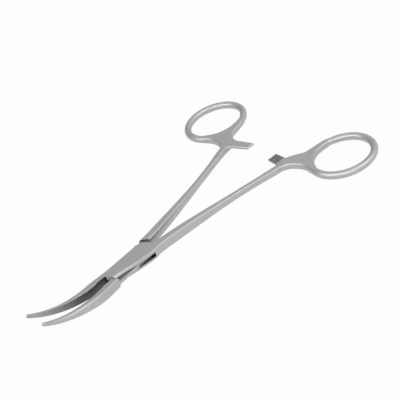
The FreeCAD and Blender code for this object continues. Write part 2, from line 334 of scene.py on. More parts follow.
@dataclass
class Jaw:
    """Curved jaw, drawn on +Y with the forceps shut, in millimetres and degrees."""

    root_x: float = 11.0
    root_overlap: float = 1.0
    straight_end_x: float = 13.15
    curve_radius: float = 43.4
    curve_angle: float = 35.94
    root_depth: float = 3.8
    root_width: float = 2.66
    tip_depth: float = 1.2
    tip_width: float = 0.85
    tip_round: float = 0.25
    face_y: float = 0.04
    bulge: float = 0.75
    rise_share: float = 1.2
    rise_share_lost: float = 0.18
    crease: float = 0.2
    round_share: float = 0.8
    round_by: float = 0.6
    soft_start: float = 0.06
    face_round: float = 0.8
    tip_face_round: float = 0.2
    face_trim: float = 0.02

    @property
    def length(self) -> float:
        """Length along the jaw's middle line."""
        return self.straight_end_x - self.root_x + self.curve_radius * math.radians(self.curve_angle)

    def distance(self, at: Points) -> ndarray:
        """Distance to the jaw before its gripping face is cut.

        Args:
            at: X, Y and Z of the points.

        Returns:
            Distances to the jaw.
        """
        x, y, z = at
        ahead = -self.straight_end_x - x
        down = self.curve_radius - z
        curved = ahead > 0
        turn = np.arctan2(np.maximum(ahead, 0.0), down)
        straight = self.straight_end_x - self.root_x
        along = np.where(curved, straight + self.curve_radius * turn, -x - self.root_x)
        height = np.where(curved, self.curve_radius - np.hypot(ahead, down), z)
        share = np.clip((along - straight) / (self.length - straight), 0.0, 1.0)
        share = (share - self.soft_start * (1 - np.exp(-share / self.soft_start))) / (1 - self.soft_start)
        half = between(self.root_depth, self.tip_depth, share) / 2
        width = between(self.root_width, self.tip_width, share)
        rounded = np.clip(share / self.round_by, 0.0, 1.0)
        bulge = between(self.bulge, self.round_share * width, rounded)
        out = y - self.face_y - width
        side = flank(out, height, bulge, half * (self.rise_share - self.rise_share_lost * rounded))
        body = soft_crease(side, np.abs(height) - half, self.crease)
        body = soft_crease(body, along - self.length, self.tip_round)
        face_round = between(self.face_round, self.tip_face_round, share)
        body = soft_crease(body, self.face_y - self.face_trim - y, face_round)
        return np.maximum(body, x + self.root_x - self.root_overlap)


@dataclass
class Handle:
    """Shank, web, finger ring and ratchet bar, drawn on +Y with the forceps shut.

    Lengths are in millimetres, angles in degrees.
    """

    shoulder_x: float = 6.0
    root_x: float = 15.0
    root_width: float = 3.15
    root_gap: float = 0.24
    waist_width: float = 2.15
    neck_width: float = 2.6
    bow: float = 0.6
    taper_by: float = 0.7
    swell_from: float = 0.84
    root_thickness: float = 3.8
    thickness: float = 2.6
    shank_steps: int = 48
    ring_x: float = 86.28
    ring_y: float = 22.4
    ring_length: float = 30.05
    ring_width: float = 22.95
    wire: float = 2.7
    wire_depth: float = 2.9
    neck_before_ring: float = 6.3
    neck_inside_ring: float = 3.7
    inner_flare: tuple = ((-16.6, -16.1), (-12.4, -15.9), (-9.3, -14.3), (-6.6, -12.5))
    outer_flare: tuple = ((-17.8, -13.3), (-15.7, -12.1), (-14.3, -10.0), (-13.4, -7.2))
    flare_steps: int = 6
    web_start: float = 206.0
    web_end: float = 267.0
    web_inset: float = 1.0
    web_overlap: float = 4.0
    web_depth_share: float = 0.25
    web_steps: int = 16
    bulge: float = 1.05
    rise_share: float = 1.2
    crease: float = 0.2
    web_fillet: float = 2.6
    flat_middle: float = 242.0
    flat_reach: float = 40.0
    flat_fade: float = 26.0
    flat_band: float = 1.6
    round_band: float = 0.6
    wire_sink: float = 0.2
    ring_fillet: float = 0.3
    ring_tries: int = 4
    least_bend: float = 0.2
    bar_x: float = 72.8
    bar_y: float = 6.6
    bar_length: float = 8.6
    bar_slant: float = 6.0
    bar_root_width: float = 4.2
    bar_tip_width: float = 3.7
    bar_end_cut: float = 0.8
    bar_bottom: float = 0.06
    bar_top: float = 1.25
    bar_bulge: float = 0.6
    bar_rise_share: float = 1.1
    bar_crease: float = 0.15
    bar_fillet: float = 0.15
    bar_front_flare: tuple = ((-0.9, 1.5), (-0.45, 0.75), (0.1, 0.25), (0.9, 0.05))
    bar_back_flare: tuple = ((-3.4, 1.4), (-1.7, 0.8), (-0.9, 0.3), (0.2, 0.05))
    shoulder_fillet: float = 0.6
    bar_shift: float = 0.6
    bar_over: bool = False

    @property
    def neck_x(self) -> float:
        """Where the shank ends and the web begins."""
        return self.ring_x - self.ring_length / 2 - self.neck_before_ring

    def ring_point(self, angle: float, inset: float) -> Spot:
        """Point in the plan at an angle about the ring, an inset within its outside."""
        turn, along, across = math.radians(angle), self.ring_length / 2 - inset, self.ring_width / 2 - inset
        return self.ring_x + along * math.cos(turn), self.ring_y + across * math.sin(turn)

    def outline(self) -> ndarray:
        """Draw the plan outline of the shank and web, which reaches a little into the ring's wire.

        Returns:
            The outline's corners, one row each.
        """
        neck_y = self.ring_y - self.ring_width / 2 - self.neck_inside_ring
        root_y = (self.root_gap + self.root_width) / 2
        inner, outer = [], []
        for x in np.linspace(self.shoulder_x, self.neck_x, self.shank_steps):
            along = max(0.0, (x - self.root_x) / (self.neck_x - self.root_x))
            width = between(self.waist_width, self.root_width, float(ease(1 - along / self.taper_by)))
            swell = float(ease((along - self.swell_from) / (1 - self.swell_from)))
            width += (self.neck_width - self.waist_width) * swell
            y = between(root_y, neck_y, along) - 4 * self.bow * along * (1 - along)
            inner.append((x, y - width / 2))
            outer.append((x, y + width / 2))
        sides = []
        for side, flare, angle in (
                (inner, self.inner_flare, self.web_end), (outer, self.outer_flare, self.web_start)):
            points = side[-2:] + [(self.ring_x + x, self.ring_y + y) for x, y in flare]
            points.append(self.ring_point(angle, self.web_inset))
            sides.append(side[:-1] + through(points, self.flare_steps))
        ends = self.web_end - self.web_overlap, self.web_start + self.web_overlap
        depth = self.wire * self.web_depth_share
        arc = [self.ring_point(angle, depth) for angle in np.linspace(*ends, self.web_steps)]
        return np.array(sides[0] + arc + sides[1][::-1])

    def ring_place(self, x: ndarray, y: ndarray) -> tuple[ndarray, ndarray]:
        """Find where points lie about the ring.

        Args:
            x: X of the points.
            y: Y of the points.

        Returns:
            Distances in the plan to the wire's middle line, and how flat the ring is there, from 0 to 1.
        """
        a, b = (self.ring_length - self.wire) / 2, (self.ring_width - self.wire) / 2
        dx, dy = np.broadcast_arrays(x - self.ring_x, y - self.ring_y)
        turn = np.arctan2(dy * a, dx * b)
        for _ in range(self.ring_tries):
            c, s = np.cos(turn), np.sin(turn)
            slope = (dx - a * c) * a * s - (dy - b * s) * b * c
            bend = a * a * s * s + b * b * c * c + (dx - a * c) * a * c + (dy - b * s) * b * s
            turn = turn - slope / np.maximum(bend, a * b * self.least_bend)
        gap = np.hypot(dx - a * np.cos(turn), dy - b * np.sin(turn))
        middle = math.radians(self.flat_middle)
        away = np.abs((turn - middle + math.pi) % (2 * math.pi) - math.pi)
        beyond = (np.degrees(away) - self.flat_reach) / self.flat_fade
        return gap, 1.0 - ease(beyond)

    def plan(self, x: ndarray, y: ndarray) -> ndarray:
        """Distance in the plan to the flat-topped part of the handle.

        Args:
            x: X of the points.
            y: Y of the points.

        Returns:
            Distances, negative inside.
        """
        gap, flat = self.ring_place(x, y)
        band = gap - self.wire / 2 * (self.flat_band * flat - self.round_band)
        return smooth_union(outline_distance(x, y, self.outline()), band, self.web_fillet)

    def ring_distance(self, at: Points) -> ndarray:
        """Distance to the round wire of the ring.

        Args:
            at: X, Y and Z of the points.

        Returns:
            Distances to the wire.
        """
        x, y, z = at
        gap, flat = self.ring_place(x, y)
        wide, deep = self.wire / 2, self.wire_depth / 2 - self.wire_sink * flat
        across, above = gap / wide, z / deep
        level = np.maximum(np.hypot(across, above), LEAST_LEVEL)
        slope = np.maximum(np.hypot(across / wide, above / deep), TINY)
        return (level - 1) * level / slope

    def bar_distance(self, at: Points) -> ndarray:
        """Distance to the ratchet bar before its teeth are cut.

        Args:
            at: X, Y and Z of the points.

        Returns:
            Distances to the bar.
        """
        x, y, z = at
        root_x = self.bar_x + self.bar_shift
        tip_x = root_x + self.bar_length * math.tan(math.radians(self.bar_slant))
        tip_y = self.bar_y - self.bar_length
        wide, narrow = self.bar_root_width / 2, self.bar_tip_width / 2
        edge = self.bar_y - self.waist_width / 2
        front = [(root_x - wide - out, edge - down) for down, out in self.bar_front_flare]
        back = [(root_x + wide + out, edge - down) for down, out in self.bar_back_flare]
        end = [(tip_x - narrow, tip_y + self.bar_end_cut), (tip_x + narrow, tip_y)]
        out = outline_distance(x, y, np.array(front + end + back[::-1]))
        middle, half = (self.bar_top + self.bar_bottom) / 2, (self.bar_top - self.bar_bottom) / 2
        return forged(out, z - middle, half, self.bar_bulge, self.bar_rise_share, self.bar_crease)

    def distance(self, at: Points, lock: "LockPlate | None" = None) -> ndarray:
        """Distance to the whole handle.

        Args:
            at: X, Y and Z of the points.
            lock: The lock's plate, where it is one piece with the handle.

        Returns:
            Distances to the handle, with its lock if there is one.
        """
        x, y, z = at
        along = np.maximum(0.0, (x - self.root_x) / (self.neck_x - self.root_x))
        half = between(self.thickness, self.root_thickness, ease(1 - along / self.taper_by)) / 2
        out, bulge = self.plan(x, y), self.bulge
        if lock is not None:
            out = smooth_union(out, lock.plan(x, -y), self.shoulder_fillet)
            beyond = (x - lock.widens_to_x) / (self.root_x - lock.widens_to_x)
            bulge = between(lock.bulge, self.bulge, ease(beyond))
        body = forged(out, z, half, bulge, self.rise_share, self.crease)
        bar = self.bar_distance((x, y, -z if self.bar_over else z))
        body = smooth_union(body, bar, self.bar_fillet)
        return smooth_union(body, self.ring_distance(at), self.ring_fillet)


@dataclass
class LockPlate:
    """The lock's plate, from the jaw's root to the shank's root, in millimetres."""

    thickness: float = 3.8
    front_width: float = 5.4
    rear_width: float = 7.3
    front_x: float = -9.4
    widens_to_x: float = 7.0
    start_x: float = -15.0
    end_x: float = 11.2
    side_inset: float = 0.0
    corner: float = 2.0
    bulge: float = 0.75
    rise_share: float = 1.2
    crease: float = 0.2
    edge_cut: float = 0.0
    edge_cut_from: float = 0.33
    edge_cut_end: float = 3.5

    def width(self, x: ndarray) -> ndarray:
        """Width of the plate at a place along it."""
        widening = ease((x - self.front_x) / (self.widens_to_x - self.front_x))
        return between(self.front_width, self.rear_width, widening)

    def near_side(self, x: ndarray, y: ndarray) -> ndarray:
        """Distance in the plan outside the side on -Y."""
        inset = self.side_inset * ease((self.widens_to_x - x) / (2 * self.widens_to_x))
        return -y - self.width(x) / 2 + inset

    def plan(self, x: ndarray, y: ndarray) -> ndarray:
        """Distance in the plan to the plate.

        Args:
            x: X of the points.
            y: Y of the points.

        Returns:
            Distances, negative inside.
        """
        near = soft_crease(self.near_side(x, y), x - self.end_x, self.corner)
        far = np.maximum(y - self.width(x) / 2, x - self.end_x)
        return np.maximum(np.maximum(near, far), self.start_x - x)

    def distance(self, at: Points) -> ndarray:
        """Distance to the plate.

        Args:
            at: X, Y and Z of the points.

        Returns:
            Distances to the plate.
        """
        x, y, z = at
        half = self.thickness / 2
        body = forged(self.plan(x, y), z, half, self.bulge, self.rise_share, self.crease)
        if self.edge_cut:
            cut = self.edge_cut * ease((self.edge_cut_end - x) / (self.edge_cut_end - self.front_x))
            slope = (self.near_side(x, y) + np.abs(z) - half + self.edge_cut_from + cut) / math.sqrt(2)
            body = soft_crease(body, slope, self.crease / 2)
        return body


def gradient(distance: Form, points: ndarray) -> tuple[ndarray, ndarray]:
    """Measure a distance field and its slope.

    Args:
        distance: Distance to the form at given points.
        points: The points, one row each.

    Returns:
        The distances, and the slopes, one row each.
    """
    here = distance(points.T)
    slope = np.empty_like(points)
    for axis in range(3):
        shift = np.zeros(3)
        shift[axis] = SLOPE_STEP
        slope[:, axis] = (distance((points + shift).T) - here) / SLOPE_STEP
    return here, slope


def skin(distance: Form, low: Place, high: Place, step: float) -> tuple[ndarray, ndarray]:
    """Cover a form with a fine net of quads that lies exactly on it.

    Args:
        distance: Distance to the form at given points.
        low: Lowest corner of the space that holds it.
        high: Highest corner.
        step: Size of the net's meshes.

    Returns:
        The corners of the net, and its quads.
    """
    axes = [np.arange(a, b + step, step) for a, b in zip(low, high)]
    x, y, z = axes[0][:, None, None], axes[1][None, :, None], axes[2][None, None, :]
    values = np.broadcast_to(distance((x, y, z)), tuple(len(a) for a in axes)).astype(np.float32)
    grid = openvdb.FloatGrid(OUTSIDE)
    grid.copyFromArray(values)
    points, quads = grid.convertToQuads(isovalue=0.0)
    points = points.astype(float) * step + np.array(low)
    for _ in range(NET_ROUNDS):
        here, slope = gradient(distance, points)
        move = np.clip(here, -step, step) / np.maximum((slope * slope).sum(axis=1), LEAST_SLOPE)
        points = points - slope * move[:, None]
    return points, quads


def solid(name: str, points: ndarray | list, faces: ndarray | list) -> Object:
    """Make a mesh object.

    Args:
        name: The object's name.
        points: Its corners.
        faces: Faces, each a row of corner numbers.

    Returns:
        The object, in the scene.
    """
    mesh = bpy.data.meshes.new(name)
    mesh.from_pydata(np.asarray(points, dtype=float).tolist(), [], [list(map(int, face)) for face in faces])
    thing = bpy.data.objects.new(name, mesh)
    bpy.context.collection.objects.link(thing)
    return thing


def stack(name: str, rings: list[list[Place]]) -> Object:
    """Make a closed solid through a stack of rings.

    Args:
        name: The solid's name.
        rings: Corners of each ring, anticlockwise, and as many in each.

    Returns:
        The solid.
    """
    count, top = len(rings[0]), len(rings[0]) * (len(rings) - 1)
    faces = [list(range(count))[::-1], list(range(top, top + count))]
    for low in range(0, top, count):
        pairs = [(low + i, low + (i + 1) % count) for i in range(count)]
        faces += [[i, j, j + count, i + count] for i, j in pairs]
    return solid(name, [corner for ring in rings for corner in ring], faces)


def prism(name: str, outline: list[Spot], start: float, end: float, axes: str = "xyz") -> Object:
    """Make a straight prism on a polygon.

    Args:
        name: The object's name.
        outline: Corners of the polygon, anticlockwise.
        start: Where the prism starts on the third axis.
        end: Where it ends.
        axes: The two axes of the polygon and the one that the prism runs along.

    Returns:
        The prism.
    """
    order = [axes.index(axis) for axis in "xyz"]
    rings = [[tuple((*corner, level)[i] for i in order) for corner in outline] for level in (start, end)]
    return stack(name, rings)


def settle(thing: Object, change: Modifier) -> None:
    """Make the result of a modifier a piece's own mesh, and take the modifier off.

    Args:
        thing: The piece.
        change: Its modifier.
    """
    graph = bpy.context.evaluated_depsgraph_get()
    mesh = bpy.data.meshes.new_from_object(thing.evaluated_get(graph))
    thing.modifiers.remove(change)
    old, thing.data = thing.data, mesh
    bpy.data.meshes.remove(old)


def carve(target: Object, how: Carving, *tools: Object) -> None:
    """Work on a piece with tools, one after the other, and throw them away.

    Args:
        target: The piece.
        how: What the tools do to it.
        tools: The tools.
    """
    for tool in tools:
        change = target.modifiers.new("carve", "BOOLEAN")
        change.solver = "MANIFOLD"
        change.operation = how.value
        change.object = tool
        settle(target, change)
        bpy.data.meshes.remove(tool.data)


def row_tree(name: str, curved: bool) -> NodeTree:
    """Geometry tree that repeats a cutter in a row.

    Args:
        name: The tree's name.
        curved: Whether the row follows the jaw's curve, or runs straight along Y.

    Returns:
        The tree, with inputs for the count, the first place, the pitch and the curve.
    """
    tree = bpy.data.node_groups.new(name, "GeometryNodeTree")
    kinds = {"Geometry": "Geometry", "Count": "Int", "Material": "Material"}
    kinds |= dict.fromkeys(("First", "Pitch", "Straight", "Root", "Radius"), "Float")
    for title, kind in kinds.items():
        tree.interface.new_socket(title, in_out="INPUT", socket_type=f"NodeSocket{kind}")
    tree.interface.new_socket("Geometry", in_out="OUTPUT", socket_type="NodeSocketGeometry")
    sketch = Sketch(tree)
    sums = sketch.sums
    given = sketch.add("NodeGroupInput", {}).outputs
    index = sketch.add("GeometryNodeInputIndex", {}).outputs[0]
    along = sums("MULTIPLY_ADD", index, given["Pitch"], given["First"])
    place, turn = {"Y": along}, {}
    if curved:
        past = sums("MAXIMUM", sums("SUBTRACT", along, given["Straight"]), 0.0)
        angle = sums("DIVIDE", past, given["Radius"])
        run = sums("MULTIPLY", sums("SINE", angle), given["Radius"])
        run = sums("ADD", run, sums("MINIMUM", along, given["Straight"]))
        drop = sums("SUBTRACT", 1.0, sums("COSINE", angle))
        place = {"X": sums("MULTIPLY", sums("ADD", run, given["Root"]), -1.0),
                 "Z": sums("MULTIPLY", drop, given["Radius"])}
        turn = {"Y": angle}
    places, turns = (sketch.add("ShaderNodeCombineXYZ", parts).outputs[0] for parts in (place, turn))
    points = sketch.add("GeometryNodePoints", {"Count": given["Count"], "Position": places}).outputs[0]
    row = sketch.add("GeometryNodeInstanceOnPoints", {
        "Points": points, "Instance": given["Geometry"], "Rotation": turns}).outputs[0]
    real = sketch.add("GeometryNodeRealizeInstances", {0: row}).outputs[0]
    dressed = sketch.add("GeometryNodeSetMaterial", {"Geometry": real, "Material": given["Material"]})
    sketch.add("NodeGroupOutput", {0: dressed.outputs[0]})
    return tree


def repeat(thing: Object, tree: NodeTree, values: dict[str, object]) -> None:
    """Turn a cutter into the row of cutters that a geometry tree makes of it.

    Args:
        thing: The cutter.
        tree: The geometry tree.
        values: Values of the tree's named inputs.
    """
    change = thing.modifiers.new("repeat", "NODES")
    change.node_group = tree
    for socket in tree.interface.items_tree:
        if getattr(socket, "in_out", "") == "INPUT" and socket.name in values:
            change[socket.identifier] = values[socket.name]
    settle(thing, change)


def read(items: bpy.types.bpy_prop_collection, value: str, size: int = 3, kind: type = float) -> ndarray:
    """Read a value of all corners or faces of a mesh.

    Args:
        items: The mesh's vertices, loops or faces.
        value: The value's name.
        size: How many numbers it has.
        kind: The kind of number.

    Returns:
        The values, one row each.
    """
    rows = np.empty(len(items) * size, dtype=kind)
    items.foreach_get(value, rows)
    return rows.reshape(-1, size)


@dataclass
class Half:
    """One half of the forceps: its share of the lock, a jaw and a handle.

    Lengths are in millimetres, angles in degrees. What ends in look or facing says which faces
    get another finish.
    """

    name: str
    body: str
    node: str
    turn: float
    jaw_side: int
    plate: LockPlate = field(default_factory=LockPlate)
    jaw: Jaw = field(default_factory=Jaw)
    handle: Handle = field(default_factory=Handle)
    step: float = NET_STEP
    far: float = 130.0
    tool_reach: float = 20.0
    tool_half: float = 3.0
    shoulder_overlap: float = 2.0
    weld: float = 0.004
    sharp_angle: float = 28.0
    on_form: float = 0.02
    cut_angle: float = 35.0
    seam_angle: float = 54.0
    front_seam_x: float = 9.4
    rear_seam_x: float = 11.2
    front_seam_gap: float = 0.45
    rear_seam_gap: float = 0.8
    slot_height: float = 1.6
    slot_radius: float = 9.5
    slot_sides: int = 120
    tongue_clearance: float = 0.16
    tongue_end_clearance: float = 0.15
    tongue_side: float = 3.2
    # Slot faces beyond this X take the darker milled finish, partly as painted shade.
    unpolished_and_shaded_from: float = -9.6
    shank_gap: float = 0.24
    pin_radius: float = 1.2
    pin_head: float = 1.5
    pin_head_depth: float = 0.3
    pin_overcut: float = 0.5
    pin_sides: int = 64
    pin_clearance: float = 0.0
    lock_height: float = 1.9
    relief_depth: float = 0.55
    relief_start: float = 9.5
    relief_end: float = 17.0
    relief_full: float = 0.85
    relief_overcut: float = 1.5
    relief_steps: int = 16
    serration_start: float = 3.2
    serration_pitch: float = 0.68
    serration_depth: float = 0.24
    serration_width: float = 0.58
    serration_margin: float = 0.6
    serration_offset: float = 0.0
    tooth_count: int = 5
    tooth_pitch: float = 1.25
    tooth_depth: float = 0.45
    tooth_land: float = 0.15
    tooth_margin: float = 1.3
    tooth_inset: float = 0.5
    tooth_overcut: float = 0.4
    tooth_reach: float = 5.0
    tooth_end: float = 4.0
    margin_look: float = 0.02
    slot_look: float = 0.01
    grip_facing: float = 0.5
    tooth_facing: float = 0.2
    tooth_look: float = 0.52
    ledge_facing: float = 0.9
    ledge_look: float = 3.0

    def front_distance(self, at: Points) -> ndarray:
        """Distance to the lock's plate and the jaw together.

        Args:
            at: X, Y and Z of the points.

        Returns:
            Distances to both.
        """
        x, y, z = at
        plate = np.maximum(self.plate.distance(at), -self.jaw.straight_end_x - x)
        return np.minimum(plate, self.jaw.distance((x, self.jaw_side * y, z)))

    def handle_distance(self, at: Points) -> ndarray:
        """Distance to the handle, which lies on the other side than the jaw."""
        x, y, z = at
        return self.handle.distance((x, -self.jaw_side * y, z))

    def whole_distance(self, at: Points) -> ndarray:
        """Distance to plate, jaw and handle together.

        Args:
            at: X, Y and Z of the points.

        Returns:
            Distances to the whole half, uncut.
        """
        x, y, z = at
        body = np.array(self.front_distance(at))
        rows = x.reshape(len(x), -1)[:, 0] > self.handle.shoulder_x - self.shoulder_overlap
        if rows.any():
            same = len(y) == len(x)
            part = (x[rows], -self.jaw_side * (y[rows] if same else y), z[rows] if same else z)
            body[rows] = self.handle.distance(part, self.plate)
        return body

    def area_beyond(self, seam_x: float, gap: float, edge: float) -> Object:
        """Block in front of a slanted seam, on -Y of an edge.

        Args:
            seam_x: Where the seam crosses the middle line, in front of the pivot.
            gap: Distance that is kept from the seam.
            edge: Y of the edge.

        Returns:
            The block.
        """
        angle = math.radians(self.seam_angle)
        start = -seam_x - gap / math.sin(angle)
        top = (start - edge / math.tan(angle), edge)
        low = (start + self.far / math.tan(angle), -self.far)
        corners = [top, (-self.far, edge), (-self.far, -self.far), low]
        return prism("beyond_seam", corners, -self.tool_reach, self.tool_reach)

    @staticmethod
    def spin(thing: Object) -> Object:
        """Turn a tool half round about the pivot."""
        thing.data.transform(Matrix.Rotation(math.pi, 4, "Z"))
        return thing

    def zone(self, radius: float, margin: float, height: float, side: float) -> Object:
        """Flat space about the pivot that holds slot or tongue.

        Args:
            radius: Radius of its end walls.
            margin: How far the two quarters reach past the middle.
            height: Its height.
            side: How far the rear quarter reaches out.

        Returns:
            The space as one block.
        """
        low, high, far = -height / 2, height / 2, self.far
        disc = prism("zone", circle(radius, self.slot_sides), low, high)
        front = [(margin, margin), (-far, margin), (-far, -far), (margin, -far)]
        rear = [(-margin, -margin), (far, -margin), (far, side), (-margin, side)]
        carve(disc, Carving.JOIN, *(prism("quarter", quarter, low, high) for quarter in (front, rear)))
        return disc

    def pin_bore(self) -> Object:
        """Room that the lock pin takes.

        Returns:
            The room as a turned block.
        """
        shank, head = self.pin_radius + self.pin_clearance, self.pin_head + self.pin_clearance
        top = self.lock_height
        levels = [(head, -top - self.pin_overcut), (head, -top), (shank, self.pin_head_depth - top)]
        levels += [(shank, top - self.pin_head_depth), (head, top), (head, top + self.pin_overcut)]
        rings = [[(x, y, z) for x, y in circle(radius, self.pin_sides)] for radius, z in levels]
        return stack("bore", rings)

    def on_jaw_side(self, tool: Object) -> Object:
        """Mirror a tool to the jaw's side and keep its faces outward.

        Args:
            tool: The tool, drawn for a jaw on +Y.

        Returns:
            The same tool.
        """
        if self.jaw_side < 0:
            tool.data.transform(Matrix.Diagonal((1.0, -1.0, 1.0, 1.0)))
            tool.data.flip_normals()
        return tool

    def relief(self) -> Object:
        """Cutter for the shallow hollow between the jaws, next to the lock.

        Returns:
            The cutter.
        """
        outline = [(-self.relief_start, -self.relief_overcut)]
        for share in np.linspace(0.0, 1.0, self.relief_steps):
            depth = self.relief_depth * float(ease((1 - share) / self.relief_full))
            outline.append((between(-self.relief_start, -self.relief_end, share), self.jaw.face_y + depth))
        outline.append((-self.relief_end, -self.relief_overcut))
        return self.on_jaw_side(prism("hollow", outline, -self.tool_half, self.tool_half))

    def serrations(self, steel: Material) -> Object:
        """Cutter for the row of grooves across the gripping face.

        Args:
            steel: Finish of the grooves.

        Returns:
            The cutter.
        """
        half, depth, face = self.serration_width / 2, self.serration_depth, self.jaw.face_y
        corners = [(-half, face), (0.0, face - depth), (half, face), (0.0, face + depth)]
        groove = prism("grooves", corners, -self.tool_half, self.tool_half)
        start = self.serration_start + self.serration_offset
        count = int((self.jaw.length - self.serration_margin - start) / self.serration_pitch) + 1
        repeat(groove, row_tree("serration_row", True), {
            "Count": count, "First": start, "Pitch": self.serration_pitch,
            "Straight": self.jaw.straight_end_x - self.jaw.root_x, "Root": self.jaw.root_x,
            "Radius": self.jaw.curve_radius, "Material": steel})
        return self.on_jaw_side(groove)

    def teeth(self, steel: Material) -> list[Object]:
        """Cutters for the ratchet's teeth and its thinner end, for a handle on +Y with the teeth below.

        Args:
            steel: Finish of the teeth.

        Returns:
            The cutters.
        """
        bar = self.handle
        low, crest, root = -self.tooth_overcut, bar.bar_bottom, bar.bar_bottom + self.tooth_depth
        reach = self.tooth_pitch - self.tooth_land
        tip = bar.bar_y - bar.bar_length + self.tooth_margin
        start = tip - self.tooth_end
        x = bar.bar_x + bar.bar_shift
        sides = x - bar.bar_root_width / 2 + self.tooth_inset, x + self.tooth_reach
        notch = prism("notch", [(0.0, low), (reach, low), (reach, crest), (0.0, root)], *sides, "yzx")
        repeat(notch, row_tree("tooth_row", False), {
            "Count": self.tooth_count, "First": tip, "Pitch": self.tooth_pitch, "Material": steel})
        end = prism("end", [(start, low), (tip, low), (tip, root), (start, root)], *sides, "yzx")
        slant = Matrix.Identity(4)
        slant[0][1] = -math.tan(math.radians(bar.bar_slant))
        for tool in (notch, end):
            tool.data.transform(Matrix.Translation((0.0, -bar.bar_y, 0.0)))
            tool.data.transform(slant)
            tool.data.transform(Matrix.Translation((0.0, bar.bar_y, 0.0)))
        return [notch, end]

    def forms(self) -> list[Form]:
        """Distances to the forms that make up the half."""
        raise NotImplementedError

    def exact_normals(self, mesh: Mesh) -> ndarray:
        """Find the exact normals of the forms that a mesh lies on.

        Args:
            mesh: The half's mesh, drawn shut, in millimetres.

        Returns:
            A normal for each corner of a face, or zeros for a corner on a cut.
        """
        points = read(mesh.vertices, "co")
        nearest = np.full(len(points), self.on_form)
        normals = np.zeros_like(points)
        for form in self.forms():
            here, slope = gradient(form, points)
            closer = np.abs(here) < nearest
            nearest[closer] = np.abs(here)[closer]
            normals[closer] = slope[closer]
        normals /= np.maximum(np.linalg.norm(normals, axis=1), TINY)[:, None]
        counts = read(mesh.polygons, "loop_total", 1, np.int32)[:, 0]
        facing = np.repeat(read(mesh.polygons, "normal"), counts, axis=0)
        wanted = normals[read(mesh.loops, "vertex_index", 1, np.int32)[:, 0]]
        wanted[(wanted * facing).sum(axis=1) < math.cos(math.radians(self.cut_angle))] = 0.0
        return wanted

    def dress(self, mesh: Mesh, looks: Looks) -> None:
        """Give each face its finish, some of which is painted shade.

        Args:
            mesh: The half's mesh, drawn shut, in millimetres.
            looks: The finishes.
        """
        mesh.materials.clear()
        for look in (looks.steel, looks.grip, looks.cut):
            mesh.materials.append(look)
        x, y, z = read(mesh.polygons, "center").T
        facing = read(mesh.polygons, "normal")
        inward, level, upright = -self.jaw_side * y, np.abs(z), np.abs(facing[:, 2])
        depth = self.jaw.face_y + max(self.serration_depth, self.relief_depth) + self.margin_look
        # The gripping face's finish holds painted shade of its grooves and of the other jaw.
        gripping = (x < -self.front_seam_x) & (self.jaw_side * y < depth)
        gripping &= self.jaw_side * facing[:, 1] < -self.grip_facing
        bar = self.handle
        toothed = (np.abs(x - bar.bar_x) < bar.bar_length) & (level < self.tooth_look)
        toothed &= (inward < bar.bar_y - bar.waist_width) & (upright > self.tooth_facing)
        toothed &= inward > bar.bar_y - bar.bar_length + self.tooth_margin - self.margin_look
        # The slot's walls and the level ledges by the seams take the darker milled finish as painted shade,
        # for the shade inside the lock.
        in_slot = level < self.slot_height / 2 + self.slot_look
        lock = np.hypot(x, y) < self.slot_radius + self.margin_look
        inside = lock & in_slot & (x > self.unpolished_and_shaded_from)
        ledge = in_slot & (upright > self.ledge_facing) & (np.abs(x) < self.rear_seam_x + self.ledge_look)
        picks = gripping.astype(np.int32) + 2 * (toothed | inside | ledge).astype(np.int32)
        mesh.polygons.foreach_set("material_index", picks)

    def finish(self, thing: Object, looks: Looks) -> None:
        """Dress the half, turn it to its pose and put it on its body.

        Args:
            thing: The half, drawn shut, in millimetres.
            looks: The finishes.
        """
        mesh = thing.data
        work = bmesh.new()
        work.from_mesh(mesh)
        bmesh.ops.remove_doubles(work, verts=work.verts, dist=self.weld)
        bmesh.ops.dissolve_degenerate(work, edges=work.edges, dist=self.weld)
        work.to_mesh(mesh)
        work.free()
        self.dress(mesh, looks)
        normals = self.exact_normals(mesh)
        turn = Matrix.Rotation(math.radians(self.turn), 4, "Z")
        mesh.transform(turn)
        mesh.transform(Matrix.Translation((0.0, 0.0, self.lock_height)))
        mesh.transform(Matrix.Scale(MM, 4))
        mesh.shade_smooth()
        mesh.set_sharp_from_angle(angle=math.radians(self.sharp_angle))
        mesh.normals_split_custom_set((normals @ np.array(turn.to_3x3()).T).tolist())
        thing.name = mesh.name = self.name
        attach(thing, self.body)
        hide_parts(self.node)
        LOG.info("%s: %d faces", self.name, len(mesh.polygons))


@dataclass
class FemaleHalf(Half):
    """Half with the slot, its jaw on +Y and its handle on -Y."""

    name: str = "female_body"
    body: str = "female"
    node: str = "female_half"
    turn: float = -4.6
    jaw_side: int = 1
    plate: LockPlate = field(default_factory=lambda: LockPlate(side_inset=0.3, edge_cut=0.45))
    handle: Handle = field(default_factory=lambda: Handle(
        bar_shift=-0.25, bar_root_width=4.9, bar_tip_width=4.4, bar_length=9.4, bar_over=True))
    space: tuple[Place, Place] = ((-40.0, -35.5, -2.4), (103.0, 5.0, 11.0))

    def forms(self) -> list[Form]:
        """Distances to the forms that make up the half."""
        return [self.whole_distance]

    def build(self, looks: Looks) -> None:
        """Build the half and dress it.

        Args:
            looks: The finishes.
        """
        half = solid(self.name, *skin(self.whole_distance, *self.space, self.step))
        carve(half, Carving.CUT,
              self.zone(self.slot_radius, self.shank_gap / 2, self.slot_height, self.far),
              self.area_beyond(self.front_seam_x, 0.0, self.jaw.face_y),
              self.spin(self.area_beyond(self.rear_seam_x, 0.0, self.shank_gap / 2)),
              self.pin_bore(), self.relief(), self.serrations(looks.steel))
        for tool in self.teeth(looks.steel):
            tool.data.transform(Matrix.Rotation(math.pi, 4, "X"))
            carve(half, Carving.CUT, tool)
        self.finish(half, looks)


